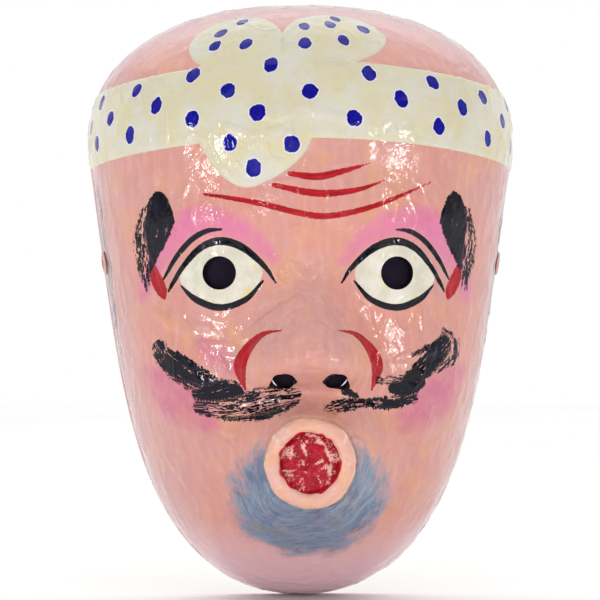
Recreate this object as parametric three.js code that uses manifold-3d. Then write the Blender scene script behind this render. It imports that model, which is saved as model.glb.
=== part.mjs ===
// A festival mask of moulded paper pulp: a comic face with round eyes and a puckered, spout-like
// mouth, and a knotted headband. Millimetres, +Z up, the face looks along -Y, and the viewer's
// right is +X. The origin is on the flat back of the edge strip, at the crown, half-way across.
import * as THREE from "three";
import { mergeVertices } from "three/addons/utils/BufferGeometryUtils.js";
import Module from "manifold-3d";

const wasm = await Module();
wasm.setup();

// The pulp shell.
const maskHeight = 228;
const maskWidth = 164;
const maskDepth = 80;
const shellThickness = 2.4;
const widestBelowCrown = 55.5;
const sectionPower = 2.2; // a section across is a rounded half-oval: 2 would be an ellipse
const innerReliefShare = 0.93; // the inside of a swelling is a little shallower than its outside

// Paper pieces pasted on the shell, and the paste between them.
const paperThickness = 0.6;
const pasteGap = 0.3;
const raisedGap = 0.5; // under the headband pieces, which lie on the domed forehead

// The face: sizes, with distances sideways from the middle and down from the crown.
const eyeSpread = 32;
const eyeBelow = 104.3;
const eyeHoleDiameter = 12;
const nostrilSpread = 9.4;
const nostrilBelow = 142.8;
const nostrilWidth = 8;
const nostrilHeight = 5;
const nostrilTilt = 15;
const mouthBelow = 171.4;
const mouthBoreDiameter = 24;
const spoutTurn = 7; // degrees towards -X
const spoutLift = 4; // degrees upwards
const spoutSeatDepth = 91;
const spoutTopRadius = 17;
const valleyRound = 3;

// The cord holes at the temples, and the eyelets in them.
const cordBearing = 15; // degrees above the hub's level, on each side
const cordDepth = 14;
const cordHoleDiameter = 5.6;

// The headband.
const bandBelow = 42;
const bandDrop = 7.5; // how far the band falls from the middle to the edge
const bandHalfHeight = 14.4;
const bandThickness = 1.6;
const knotLeft = -39.5;
const knotRight = 2.8;

// The meshing of the shell: spokes round a hub on the bridge of the nose, and rings round it.
const spokeCount = 60;
const ringCount = 26;
const hubBelow = 120;

const rimSetback = paperThickness + pasteGap;
const crownZ = shellThickness / 2;
const hubZ = crownZ - hubBelow;
const degrees = THREE.MathUtils.degToRad;
const smoothstep = THREE.MathUtils.smoothstep;

// Half the width of the shell at a height; the shell is shrunk by inset on every side.
function halfWidth(z, inset) {
  const top = crownZ - inset;
  const bottom = crownZ - maskHeight + inset;
  const widest = crownZ - widestBelowCrown;
  const full = maskWidth / 2 - inset;
  if (z >= top || z <= bottom) return 0;
  if (z > widest) return full * (1 - ((z - widest) / (top - widest)) ** 2.3) ** (1 / 2.3);
  const fall = (widest - z) / (widest - bottom);
  return full * (1 - 0.28 * fall) * (1 - fall ** 5) ** (1 / 2.2);
}

// How far forward the middle of the plain shell stands at a height.
function middleDepth(z, inset) {
  const top = crownZ - inset;
  const bottom = crownZ - maskHeight + inset;
  const widest = crownZ - widestBelowCrown;
  const full = maskDepth - inset;
  if (z >= top || z <= bottom) return 0;
  if (z > widest) return full * (1 - ((z - widest) / (top - widest)) ** 2.3) ** (1 / 2.1);
  const fall = (widest - z) / (widest - bottom);
  return full * (1 - 0.05 * fall) * (1 - fall ** 4.6) ** (1 / 2.2);
}

function plainDepth(x, z, inset) {
  const share = Math.abs(x) / halfWidth(z, inset);
  if (!(share < 1)) return 0;
  return middleDepth(z, inset) * (1 - share ** sectionPower) ** (1 / sectionPower);
}

// Soft swellings of the face, on both sides: a negative rise is a hollow.
const swellings = [
  { name: "brow ridge", x: 33, below: 86, reachX: 24, reachZ: 11, rise: 3 },
  { name: "eye socket", x: 32, below: 104, reachX: 23, reachZ: 17, rise: -5 },
  { name: "eyeball", x: 32, below: 104.3, reachX: 15, reachZ: 12, rise: 6 },
  { name: "nose wing", x: 14, below: 138, reachX: 8, reachZ: 9, rise: 8 },
  { name: "cheek", x: 42, below: 146, reachX: 20, reachZ: 24, rise: 4 },
  { name: "jaw", x: 24, below: 200, reachX: 22, reachZ: 14, rise: 2 },
];

function swell(dx, dz, reachX, reachZ) {
  return Math.exp(-((dx / reachX) ** 2) - (dz / reachZ) ** 2);
}

// The ridge of the nose, from its root between the eyes to its tip, and back to the lip.
function noseRise(x, below) {
  const root = 92;
  const tip = 133;
  const base = 152;
  const along = smoothstep(below, root, tip);
  const under = 1 - smoothstep(below, tip + 1, base);
  const halfBreadth = 9 + 6 * along;
  return (2 + 18 * along) * along * under * Math.exp(-((x / halfBreadth) ** 2));
}

// The puckered cone of the mouth, up to its slanting top.
function spoutRise(x, below, baseDepth) {
  const dz = mouthBelow - below;
  const away = Math.hypot(x, dz);
  const reach = 20 - 5 * Math.max(0, dz / (away + 1));
  const flank = Math.max(0, (away - spoutTopRadius) / reach);
  if (flank >= 1) return 0;
  const slant = Math.tan(degrees(spoutTurn)) * x - Math.tan(degrees(spoutLift)) * dz;
  const top = spoutSeatDepth + 1 + slant; // 1 mm proud, for the flat seat to be cut from
  return (top - baseDepth) * (1 - flank) ** 1.7;
}

function relief(x, z, baseDepth) {
  const below = crownZ - z;
  let rise = 0;
  for (const s of swellings) {
    const dz = below - s.below;
    const near = swell(x - s.x, dz, s.reachX, s.reachZ);
    const far = swell(x + s.x, dz, s.reachX, s.reachZ);
    rise += s.rise * (near + far);
  }
  const nose = noseRise(x, below);
  const spout = spoutRise(x, below, baseDepth);
  // The larger of the two, with a rounded valley where they meet.
  const features = (nose + spout + Math.hypot(nose - spout, valleyRound) - valleyRound) / 2;
  return rise * (1 - smoothstep(spout, 6, 14)) + features;
}

// The point of the face in front of (x, z), on the shell shrunk by inset.
function facePoint(x, z, inset) {
  const depth = plainDepth(x, z, inset);
  const frontness = smoothstep(depth / maskDepth, 0.3, 0.7);
  const share = inset > 0 ? innerReliefShare : 1;
  const rise = frontness > 0 ? share * frontness * relief(x, z, plainDepth(x, z, 0)) : 0;
  return new THREE.Vector3(x, -rimSetback - depth - rise, z);
}

// How far from the hub, at a bearing, the plain shell is still at least this deep.
function reachAtDepth(bearing, depth, inset) {
  let near = 0;
  let far = maskHeight;
  for (let step = 0; step < 40; step++) {
    const middle = (near + far) / 2;
    const x = middle * Math.cos(bearing);
    const z = hubZ + middle * Math.sin(bearing);
    if (halfWidth(z, inset) > Math.abs(x) && plainDepth(x, z, inset) >= depth) near = middle;
    else far = middle;
  }
  return near;
}

// A point on the side wall: at a bearing from the hub, this far in front of the rim.
function wallPoint(bearing, depth, inset) {
  const reach = reachAtDepth(bearing, Math.max(0, depth - rimSetback), inset);
  return new THREE.Vector3(reach * Math.cos(bearing), -depth, hubZ + reach * Math.sin(bearing));
}

const spokeBearing = (spoke) => (2 * Math.PI * spoke) / spokeCount;

// Ring 0 is the rim and the last ring is the hub; the rings are closest round the hub.
function ringShare(ring) {
  const turn = (Math.PI / 2) * (1 - (1 - ring / ringCount) ** 1.25);
  return ring === ringCount ? 0 : Math.cos(turn) ** (2 / sectionPower);
}

function gridPoint(spoke, ring, inset) {
  const bearing = spokeBearing(spoke);
  const reach = reachAtDepth(bearing, 0, inset) * ringShare(ring);
  const point = facePoint(reach * Math.cos(bearing), hubZ + reach * Math.sin(bearing), inset);
  if (ring === 0) point.y = -rimSetback;
  return point;
}

// A closed body from two matching grids of points, a front and a back, joined along their edges.
// A wrapped grid closes on itself from its last row to its first.
function layerGeometry(front, back, wrapped = false) {
  const rows = front.length;
  const columns = front[0].length;
  const triangles = [];
  const quad = (a, b, c, d) => triangles.push(a, b, c, a, c, d);
  const steps = wrapped ? rows : rows - 1;
  for (let i = 0; i < steps; i++) {
    const next = (i + 1) % rows;
    for (let j = 0; j < columns - 1; j++) {
      quad(front[i][j], front[next][j], front[next][j + 1], front[i][j + 1]);
      quad(back[i][j], back[i][j + 1], back[next][j + 1], back[next][j]);
    }
    quad(front[i][0], back[i][0], back[next][0], front[next][0]);
    const last = columns - 1;
    quad(front[i][last], front[next][last], back[next][last], back[i][last]);
  }
  for (let j = 0; j < columns - 1 && !wrapped; j++) {
    const last = rows - 1;
    quad(front[0][j], front[0][j + 1], back[0][j + 1], back[0][j]);
    quad(front[last][j], back[last][j], back[last][j + 1], front[last][j + 1]);
  }
  return weld(new THREE.BufferGeometry().setFromPoints(triangles));
}

// Merges shared corners, drops triangles that have closed up, and turns the faces outwards.
function weld(geometry) {
  geometry.deleteAttribute("normal");
  geometry.deleteAttribute("uv");
  const merged = mergeVertices(geometry, 1e-4);
  const corners = merged.index.array;
  const points = merged.attributes.position;
  const kept = [];
  const [a, b, c] = [new THREE.Vector3(), new THREE.Vector3(), new THREE.Vector3()];
  let volume = 0;
  for (let i = 0; i < corners.length; i += 3) {
    const [p, q, r] = corners.slice(i, i + 3);
    if (p === q || q === r || r === p) continue;
    kept.push(p, q, r);
    a.fromBufferAttribute(points, p);
    b.fromBufferAttribute(points, q);
    c.fromBufferAttribute(points, r);
    volume += a.dot(b.cross(c));
  }
  merged.setIndex(volume < 0 ? kept.reverse() : kept);
  return merged;
}

function solid(geometry) {
  const closed = weld(geometry.index ? geometry.toNonIndexed() : geometry);
  const vertProperties = closed.attributes.position.array;
  return new wasm.Manifold(
    new wasm.Mesh({ numProp: 3, vertProperties, triVerts: new Uint32Array(closed.index.array) }),
  );
}

function cutGeometry(geometry, cutters) {
  let left = solid(geometry);
  for (const cutter of cutters) left = left.subtract(solid(cutter));
  const mesh = left.getMesh();
  const result = new THREE.BufferGeometry();
  result.setAttribute("position", new THREE.BufferAttribute(new Float32Array(mesh.vertProperties), 3));
  result.setIndex(new THREE.BufferAttribute(new Uint32Array(mesh.triVerts), 1));
  return result;
}

// Turns a geometry made about +Y so that +Y becomes direction, and moves it to a point.
function aimed(geometry, point, direction) {
  const turn = new THREE.Quaternion().setFromUnitVectors(new THREE.Vector3(0, 1, 0), direction);
  return geometry.applyQuaternion(turn).translate(point.x, point.y, point.z);
}

const group = new THREE.Group();
const paints = {
  skin: { color: 0xdba29c, roughness: 0.28 },
  lips: { color: 0xe1bea5, roughness: 0.3 },
  red: { color: 0xb9192d, roughness: 0.25 },
  cloth: { color: 0xdcd7c3, roughness: 0.3 },
  paper: { color: 0xcfc0a2, roughness: 0.85 },
  gauze: { color: 0x2a2231, roughness: 0.9 },
  brass: { color: 0xb08d4f, roughness: 0.35, metalness: 1 },
};

function addPiece(name, geometry, paint) {
  geometry.computeVertexNormals();
  const material = new THREE.MeshStandardMaterial({ metalness: 0, ...paints[paint] });
  const mesh = new THREE.Mesh(geometry, material);
  mesh.name = name;
  group.add(mesh);
}

const spoutAxis = new THREE.Vector3(
  -Math.tan(degrees(spoutTurn)),
  -1,
  Math.tan(degrees(spoutLift)),
).normalize();
const spoutSeat = new THREE.Vector3(0, -rimSetback - spoutSeatDepth, crownZ - mouthBelow);

// A grid of shell points over some spokes and rings, for the shell itself and for pasted sheets.
function gridRows(spokeFrom, spokeTo, ringFrom, ringTo, inset) {
  const rows = [];
  for (let spoke = spokeFrom; spoke <= spokeTo; spoke++) {
    const row = [];
    for (let ring = ringFrom; ring <= ringTo; ring++) row.push(gridPoint(spoke, ring, inset));
    rows.push(row);
  }
  return rows;
}

function addShell() {
  const lastSpoke = spokeCount - 1;
  const front = gridRows(0, lastSpoke, 0, ringCount, 0);
  const back = gridRows(0, lastSpoke, 0, ringCount, shellThickness);
  const cutters = [mouthSeatCutter(), mouthBoreCutter()];
  for (const side of [-1, 1]) {
    cutters.push(holeAlongY(side * eyeSpread, eyeBelow, eyeHoleDiameter, eyeHoleDiameter, 0));
    const tilt = side * nostrilTilt;
    cutters.push(holeAlongY(side * nostrilSpread, nostrilBelow, nostrilWidth, nostrilHeight, tilt));
    cutters.push(cordHoleCutter(side));
  }
  addPiece("face_shell", cutGeometry(layerGeometry(front, back, true), cutters), "skin");
}

// A round or oval hole bored straight through the face.
function holeAlongY(x, below, width, height, tilt) {
  const bore = new THREE.CylinderGeometry(0.5, 0.5, 2 * maskDepth, 20);
  bore.scale(width, 1, height);
  bore.rotateY(degrees(tilt));
  return bore.translate(x, -maskDepth - 20, crownZ - below);
}

function mouthSeatCutter() {
  const length = 30;
  const tool = new THREE.CylinderGeometry(spoutTopRadius + 4, spoutTopRadius + 4, length, 36);
  return aimed(tool.translate(0, length / 2, 0), spoutSeat, spoutAxis);
}

function mouthBoreCutter() {
  const bore = new THREE.CylinderGeometry(mouthBoreDiameter / 2, mouthBoreDiameter / 2, 60, 36);
  return aimed(bore, spoutSeat, spoutAxis);
}

// The outward direction of the side wall at a cord hole.
function cordAxis(side) {
  const bearing = cordHoleBearing(side);
  const here = wallPoint(bearing, cordDepth, 0);
  const along = wallPoint(bearing, cordDepth + 4, 0).sub(here);
  const around = wallPoint(bearing + 0.05, cordDepth, 0).sub(here);
  const normal = along.cross(around).normalize();
  return normal.x * side < 0 ? normal.negate() : normal;
}

function cordHoleBearing(side) {
  return side > 0 ? degrees(cordBearing) : Math.PI - degrees(cordBearing);
}

function cordHoleCutter(side) {
  const bore = new THREE.CylinderGeometry(cordHoleDiameter / 2, cordHoleDiameter / 2, 24, 20);
  return aimed(bore, wallPoint(cordHoleBearing(side), cordDepth, 0), cordAxis(side));
}

// A sheet pasted inside the shell, over some spokes and rings of its grid.
function innerSheet(spokeFrom, spokeTo, ringFrom, ringTo) {
  const nearShell = shellThickness + pasteGap;
  const farFromShell = nearShell + paperThickness;
  return layerGeometry(
    gridRows(spokeFrom, spokeTo, ringFrom, ringTo, nearShell),
    gridRows(spokeFrom, spokeTo, ringFrom, ringTo, farFromShell),
  );
}

function addLinings() {
  addPiece("lining_crown", innerSheet(8, 22, 2, 16), "paper");
  addPiece("lining_left_cheek", innerSheet(30, 37, 2, 11), "paper");
  addPiece("lining_right_cheek", innerSheet(53, 60, 2, 11), "paper");
  addPiece("lining_chin", innerSheet(40, 50, 2, 7), "paper");
}

function addGauze() {
  addPiece("eye_gauze_right", innerSheet(2, 7, 15, 20), "gauze");
  addPiece("eye_gauze_left", innerSheet(23, 28, 15, 20), "gauze");
  addPiece("nostril_gauze", innerSheet(39, 51, 20, 24), "gauze");
}

// The paper strip folded over the cut rim: a short leg outside, a longer one inside.
function edgeStrip(spokeFrom, spokeTo) {
  const outerLeg = 4;
  const innerLeg = 7;
  const jointShare = 0.04; // of a spoke's step, left open at each end of a strip
  const outside = [];
  const inside = [];
  for (let spoke = spokeFrom; spoke <= spokeTo; spoke++) {
    const shift = spoke === spokeFrom ? jointShare : spoke === spokeTo ? -jointShare : 0;
    const bearing = spokeBearing(spoke + shift);
    const at = (depth, inset) => wallPoint(bearing, depth, inset);
    const overShell = -pasteGap - paperThickness;
    const underShell = shellThickness + pasteGap + paperThickness;
    outside.push([
      at(outerLeg, overShell),
      at(0, overShell),
      at(0, underShell),
      at(innerLeg, underShell),
    ]);
    inside.push([
      at(outerLeg, -pasteGap),
      at(paperThickness, -pasteGap),
      at(paperThickness, shellThickness + pasteGap),
      at(innerLeg, shellThickness + pasteGap),
    ]);
  }
  return layerGeometry(outside, inside);
}

function addEdgeStrips() {
  addPiece("rim_binding_crown", edgeStrip(7, 23), "skin");
  addPiece("rim_binding_left", edgeStrip(23, 38), "skin");
  addPiece("rim_binding_chin", edgeStrip(38, 52), "skin");
  addPiece("rim_binding_right", edgeStrip(52, 67), "skin");
}

// A point over the shell's surface, at a share of its half-width, on the band's slanting course.
function bandPoint(share, across, lift) {
  const z = crownZ - bandBelow - bandDrop * share * share + across;
  return facePoint(share * halfWidth(z, -lift), z, -lift);
}

// One side of the headband, from the knot (nearX) out to the edge strip.
function bandSide(nearX) {
  const steps = 12;
  const rows = 4;
  const edgeTurn = degrees(85.5);
  const side = Math.sign(nearX);
  const front = [];
  const back = [];
  for (let i = 0; i <= steps; i++) {
    const over = [];
    const under = [];
    for (let j = 0; j <= rows; j++) {
      const across = bandHalfHeight * ((2 * j) / rows - 1);
      const nearShare = Math.abs(nearX) / halfWidth(crownZ - bandBelow + across, 0);
      const nearTurn = Math.asin(nearShare ** (sectionPower / 2));
      const turn = nearTurn + ((edgeTurn - nearTurn) * i) / steps;
      const share = side * Math.sin(turn) ** (2 / sectionPower);
      over.push(bandPoint(share, across, raisedGap + bandThickness));
      under.push(bandPoint(share, across, raisedGap));
    }
    front.push(over);
    back.push(under);
  }
  return layerGeometry(front, back);
}

// A cushioned flap on the shell: an outline in (x, below the crown), raised most in its middle.
function flap(outline, rise) {
  const spokes = 22;
  const rings = 4;
  const edge = 0.8;
  const corners = outline.map(([x, below]) => new THREE.Vector3(x, crownZ - below, 0));
  const curve = new THREE.CatmullRomCurve3(corners, true, "centripetal");
  const rim = curve.getSpacedPoints(spokes).slice(0, spokes);
  const middle = rim.reduce((sum, p) => sum.add(p), new THREE.Vector3()).divideScalar(spokes);
  const front = [];
  const back = [];
  for (const end of rim) {
    const over = [];
    const under = [];
    for (let ring = 0; ring <= rings; ring++) {
      const share = 1 - ring / rings;
      const p = middle.clone().lerp(end, share);
      const thickness = edge + rise * Math.sqrt(1 - share ** 2);
      over.push(facePoint(p.x, p.y, -raisedGap - thickness));
      under.push(facePoint(p.x, p.y, -raisedGap));
    }
    front.push(over);
    back.push(under);
  }
  return layerGeometry(front, back, true);
}

function addHeadband() {
  const seam = 0.6;
  addPiece("headband_left", bandSide(knotLeft - seam), "cloth");
  addPiece("headband_right", bandSide(knotRight + seam), "cloth");
  const knot = [
    [knotLeft + 2, 28.6], [-18, 28.2], [knotRight - 2, 28.6], [knotRight, 42], [knotRight - 1, 57],
    [-5, 68], [-19.5, 74.6], [-32, 69], [knotLeft + 1, 57], [knotLeft, 42],
  ];
  addPiece("headband_knot", flap(knot, 3), "cloth");
  const leftEar = [
    [-40, 25.5], [-43, 20], [-36, 12], [-24, 8.5], [-13, 11], [-10, 17], [-10.6, 25], [-24, 25.8],
  ];
  const rightEar = [[-7.4, 25], [-8, 17], [-3, 11], [8, 8], [20, 10.5], [28, 17], [26, 22.5], [12, 25.6]];
  addPiece("knot_ear_left", flap(leftEar, 2.6), "cloth");
  addPiece("knot_ear_right", flap(rightEar, 2.6), "cloth");
}

function turned(profile, segments) {
  const corners = profile.map(([radius, height]) => new THREE.Vector2(radius, height));
  return new THREE.LatheGeometry(corners, segments);
}

// The round lip on the end of the spout, and the crowned disc that closes it.
function addMouth() {
  const lip = [
    [10.8, 0.3], [16, 0.3], [16.3, 1.8], [15.6, 3.8], [14, 5], [12.4, 5], [11.2, 4], [10.8, 2.6], [10.8, 0.3],
  ];
  addPiece("mouth_ring", aimed(weld(turned(lip, 36)), spoutSeat, spoutAxis), "lips");
  const disc = [[0, -1.8], [11.6, -1.8], [11.6, -0.1], [10.4, -0.1], [10.4, 1.6], [7, 2.6], [3.5, 3], [0, 3.1]];
  addPiece("mouth_disc", aimed(weld(turned(disc, 36)), spoutSeat, spoutAxis), "red");
}

// Eyelets: a flange outside, a barrel through the wall and the patch, and a rolled flange inside.
function addCordFittings() {
  const clear = 0.4;
  const flange = 0.8;
  const boreRadius = 2;
  const barrelRadius = 2.5;
  const flangeRadius = 4.5;
  const wall = shellThickness + pasteGap + paperThickness + clear;
  const profile = [
    [boreRadius, clear + flange], [boreRadius, -wall - flange], [flangeRadius - 0.6, -wall - flange],
    [flangeRadius - 0.6, -wall], [barrelRadius, -wall], [barrelRadius, clear], [flangeRadius, clear],
    [flangeRadius, clear + 0.4], [boreRadius + 0.9, clear + flange], [boreRadius, clear + flange],
  ];
  const sides = { left: { sign: -1, spokes: [26, 29] }, right: { sign: 1, spokes: [1, 4] } };
  for (const [name, side] of Object.entries(sides)) {
    const patch = innerSheet(...side.spokes, 1, 3);
    addPiece(`cord_patch_${name}`, cutGeometry(patch, [cordHoleCutter(side.sign)]), "paper");
    const place = wallPoint(cordHoleBearing(side.sign), cordDepth, 0);
    const eyelet = aimed(weld(turned(profile, 20)), place, cordAxis(side.sign));
    addPiece(`cord_eyelet_${name}`, eyelet, "brass");
  }
}

addShell();
addMouth();
addHeadband();
addEdgeStrips();
addLinings();
addGauze();
addCordFittings();

export default group;
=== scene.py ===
"""A comic festival mask of painted, varnished paper pulp, upright and facing -Y.

Shapes are worked out in millimetres, from the same formulas as the CAD shell, and stored in metres.
Every painted stroke is a smooth field on the mesh, which the paint materials turn into ink.
"""
import math
import random

import bmesh
import bpy
import numpy as np
from mathutils import Matrix, Vector, noise


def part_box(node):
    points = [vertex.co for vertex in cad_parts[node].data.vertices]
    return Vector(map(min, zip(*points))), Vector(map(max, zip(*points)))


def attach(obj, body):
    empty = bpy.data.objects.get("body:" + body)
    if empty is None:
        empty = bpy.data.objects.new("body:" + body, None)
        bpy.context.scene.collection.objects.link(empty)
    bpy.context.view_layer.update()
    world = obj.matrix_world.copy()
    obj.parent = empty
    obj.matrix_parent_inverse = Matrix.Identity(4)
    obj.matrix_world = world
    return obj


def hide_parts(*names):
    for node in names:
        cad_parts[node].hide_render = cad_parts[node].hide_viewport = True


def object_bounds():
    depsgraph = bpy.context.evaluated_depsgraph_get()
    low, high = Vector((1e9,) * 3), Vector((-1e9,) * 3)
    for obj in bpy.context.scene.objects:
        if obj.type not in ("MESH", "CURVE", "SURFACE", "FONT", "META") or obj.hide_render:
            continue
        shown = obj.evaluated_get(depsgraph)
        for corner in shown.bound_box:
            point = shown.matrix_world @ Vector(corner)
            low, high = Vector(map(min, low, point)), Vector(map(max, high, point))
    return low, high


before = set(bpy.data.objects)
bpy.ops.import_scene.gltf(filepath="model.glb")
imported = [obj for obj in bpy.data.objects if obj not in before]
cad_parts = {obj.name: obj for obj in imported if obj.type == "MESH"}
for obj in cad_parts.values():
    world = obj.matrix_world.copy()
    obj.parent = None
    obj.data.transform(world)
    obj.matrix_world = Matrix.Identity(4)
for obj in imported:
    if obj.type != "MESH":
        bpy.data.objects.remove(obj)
cad_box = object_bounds()

MM = 0.001
DOT_SEED = 7

# ---- the shell's dimensions
shell_low, shell_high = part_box("face_shell")
CROWN = shell_high.z / MM
CHIN = shell_low.z / MM
RIM_SETBACK = -shell_high.y / MM
HEIGHT = CROWN - CHIN
WIDTH = 164
DEPTH = 80
THICKNESS = 2.4
WIDEST_BELOW = 55.5
SECTION_POWER = 2.2
INNER_RELIEF = 0.93
HUB = CROWN - 120

EYE_X = 32
EYE_BELOW = 104.3
MOUTH_BELOW = 171.4
SPOUT_TURN = math.radians(7)
SPOUT_LIFT = math.radians(4)
SEAT_DEPTH = 91
SPOUT_TOP = 17
BAND_BELOW = 42
BAND_DROP = 7.5
BAND_HALF = 14.4
PUPIL_RADIUS = 6.0
NOSTRIL_X, NOSTRIL_BELOW = 9.4, 142.8
NOSTRIL_RADII = (4.0, 2.5)
NOSTRIL_TURN = math.radians(15)
CORD_HOLE_RADIUS = 2.8
SEAT_RADIUS = 21
BORE_RADIUS = 12
HALVINGS = 40


# ---- shape formulas
def smoothstep(x, low, high):
    t = np.clip((x - low) / (high - low), 0, 1)
    return t * t * (3 - 2 * t)


def shares(z, inset):
    """How far each height is above, or below, the widest line, as shares of the way to the edge."""
    widest = CROWN - WIDEST_BELOW
    rise = np.clip((z - widest) / (CROWN - inset - widest), 0, 1)
    fall = np.clip((widest - z) / (widest - CHIN - inset), 0, 1)
    return rise, fall


def half_width(z, inset=0.0):
    rise, fall = shares(z, inset)
    top = (1 - rise ** 2.3) ** (1 / 2.3)
    low = (1 - 0.28 * fall) * (1 - fall ** 5) ** (1 / 2.2)
    return (WIDTH / 2 - inset) * top * low


def middle_depth(z, inset=0.0):
    rise, fall = shares(z, inset)
    top = (1 - rise ** 2.3) ** (1 / 2.1)
    low = (1 - 0.05 * fall) * (1 - fall ** 4.6) ** (1 / 2.2)
    return (DEPTH - inset) * top * low


def plain_depth(x, z, inset=0.0):
    share = np.abs(x) / np.maximum(half_width(z, inset), 1e-6)
    return middle_depth(z, inset) * np.clip(1 - share ** SECTION_POWER, 0, 1) ** (1 / SECTION_POWER)


# Soft swellings, on both sides: sideways, below the crown, reach sideways, reach up, rise.
SWELLINGS = {
    "brow ridge": (33, 86, 24, 11, 3),
    "eye socket": (32, 104, 23, 17, -5),
    "eyeball": (32, 104.3, 15, 12, 6),
    "nose wing": (14, 138, 8, 9, 8),
    "cheek": (42, 146, 20, 24, 4),
    "jaw": (24, 200, 22, 14, 2),
}


def swell(dx, dz, reach_x, reach_z):
    return np.exp(-((dx / reach_x) ** 2) - (dz / reach_z) ** 2)


def nose_rise(x, below):
    root, tip, base = 92, 133, 152
    along = smoothstep(below, root, tip)
    under = 1 - smoothstep(below, tip + 1, base)
    half_breadth = 9 + 6 * along
    return (2 + 18 * along) * along * under * np.exp(-np.abs(x / half_breadth) ** 2.2)


def spout_rise(x, below, base_depth):
    dz = MOUTH_BELOW - below
    away = np.hypot(x, dz)
    reach = 20 - 5 * np.maximum(0, dz / (away + 1))
    flank = np.clip((away - SPOUT_TOP) / reach, 0, 1)
    top = SEAT_DEPTH + math.tan(SPOUT_TURN) * x - math.tan(SPOUT_LIFT) * dz
    return (top - base_depth) * (1 - flank) ** 1.7


def relief(x, below, base_depth):
    rise = 0
    for side_x, down, reach_x, reach_z, height in SWELLINGS.values():
        dz = below - down
        for side in (-side_x, side_x):
            rise = rise + height * swell(x + side, dz, reach_x, reach_z)
    nose = nose_rise(x, below)
    spout = spout_rise(x, below, base_depth)
    features = (nose + spout + np.hypot(nose - spout, 3) - 3) / 2
    return rise * (1 - smoothstep(spout, 6, 14)) + features


def face_depth(x, z, inset=0.0):
    """How far in front of the strip's flat back the face stands at (x, z)."""
    depth = plain_depth(x, z, inset)
    frontness = smoothstep(depth / DEPTH, 0.3, 0.7)
    share = INNER_RELIEF if inset > 0 else 1.0
    return RIM_SETBACK + depth + share * frontness * relief(x, CROWN - z, plain_depth(x, z))


def face_points(x, z, inset=0.0):
    return np.stack([x, -face_depth(x, z, inset), z], axis=-1)


def reach_at_depth(bearing, depth, inset):
    """How far from the hub, at each bearing, the plain shell is still at least this deep."""
    near = np.zeros_like(bearing)
    far = np.full_like(bearing, HEIGHT)
    for _ in range(HALVINGS):
        middle = (near + far) / 2
        x = middle * np.cos(bearing)
        z = HUB + middle * np.sin(bearing)
        inside = (half_width(z, inset) > np.abs(x)) & (z < CROWN - inset) & (z > CHIN + inset)
        deep = inside & (plain_depth(x, z, inset) >= depth)
        near = np.where(deep, middle, near)
        far = np.where(deep, far, middle)
    return near


def wall_points(bearing, depth, inset):
    """Points of the side wall, a distance in front of the strip's flat back."""
    reach = reach_at_depth(bearing, np.maximum(0.0, depth - RIM_SETBACK), inset)
    forward = -np.maximum(depth, 0) + 0 * reach
    return np.stack([reach * np.cos(bearing), forward, HUB + reach * np.sin(bearing)], axis=-1)


def rings(fine, coarse):
    """Shares of the way from the hub to the rim: fine steps over the face, coarse ones on the wall."""
    turns = np.concatenate([
        np.linspace(0, math.pi / 4, fine, endpoint=False),
        np.linspace(math.pi / 4, math.pi / 2, coarse + 1),
    ])
    return np.sin(turns) ** (2 / SECTION_POWER)


def shell_rows(bearing, ring_shares, inset):
    reach = reach_at_depth(bearing, 0.0, inset)[:, None] * ring_shares[None, :]
    points = face_points(reach * np.cos(bearing)[:, None], HUB + reach * np.sin(bearing)[:, None], inset)
    points[:, ring_shares == 1, 1] = -RIM_SETBACK
    return points


# ---- mesh building
def add_object(name, data):
    obj = bpy.data.objects.new(name, data)
    bpy.context.scene.collection.objects.link(obj)
    return obj


def mesh_object(name, points_mm, faces):
    mesh = bpy.data.meshes.new(name)
    mesh.from_pydata((np.asarray(points_mm).reshape(-1, 3) * MM).tolist(), [], faces)
    mesh.update()
    mesh.shade_smooth()
    return add_object(name, mesh)


def from_bmesh(name, bm):
    mesh = bpy.data.meshes.new(name)
    bm.to_mesh(mesh)
    bm.free()
    return add_object(name, mesh)


def tidy_mesh(obj):
    """Merges doubled corners and turns the faces outwards."""
    work = bmesh.new()
    work.from_mesh(obj.data)
    bmesh.ops.remove_doubles(work, verts=work.verts, dist=1e-6)
    bmesh.ops.dissolve_degenerate(work, edges=work.edges, dist=1e-7)
    bmesh.ops.recalc_face_normals(work, faces=work.faces)
    work.to_mesh(obj.data)
    work.free()
    obj.data.update()


def quads(rows, columns, steps, start=0):
    """The faces of a grid of points, whose last row joins its first if there are as many steps as rows."""
    i, j = np.meshgrid(np.arange(steps), np.arange(columns - 1), indexing="ij")
    a = start + i.ravel() * columns + j.ravel()
    b = start + (i.ravel() + 1) % rows * columns + j.ravel()
    return np.stack([a, b, b + 1, a + 1], 1)


def layer_object(name, front, back, wrapped=False):
    """A closed layer: a front grid, a back grid, and the strips that join their edges."""
    rows, columns = front.shape[:2]
    behind = rows * columns
    steps = rows if wrapped else rows - 1
    last = columns - 1
    front_faces = quads(rows, columns, steps)
    faces = front_faces.tolist() + (front_faces[:, ::-1] + behind).tolist()
    for row in range(steps):
        a, b = row * columns, (row + 1) % rows * columns
        faces.append((a, a + behind, b + behind, b))
        faces.append((a + last, b + last, b + last + behind, a + last + behind))
    if not wrapped:
        end = (rows - 1) * columns
        for column in range(last):
            faces.append((column, column + 1, column + 1 + behind, column + behind))
            faces.append((end + column, end + column + behind, end + column + 1 + behind, end + column + 1))
    obj = mesh_object(name, np.concatenate([front.reshape(-1, 3), back.reshape(-1, 3)]), faces)
    tidy_mesh(obj)
    return obj


def vectors(obj, kind):
    values = np.empty(len(obj.data.vertices) * 3)
    obj.data.vertices.foreach_get(kind, values)
    return values.reshape(-1, 3)


def coordinates(obj):
    return vectors(obj, "co") / MM


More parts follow.
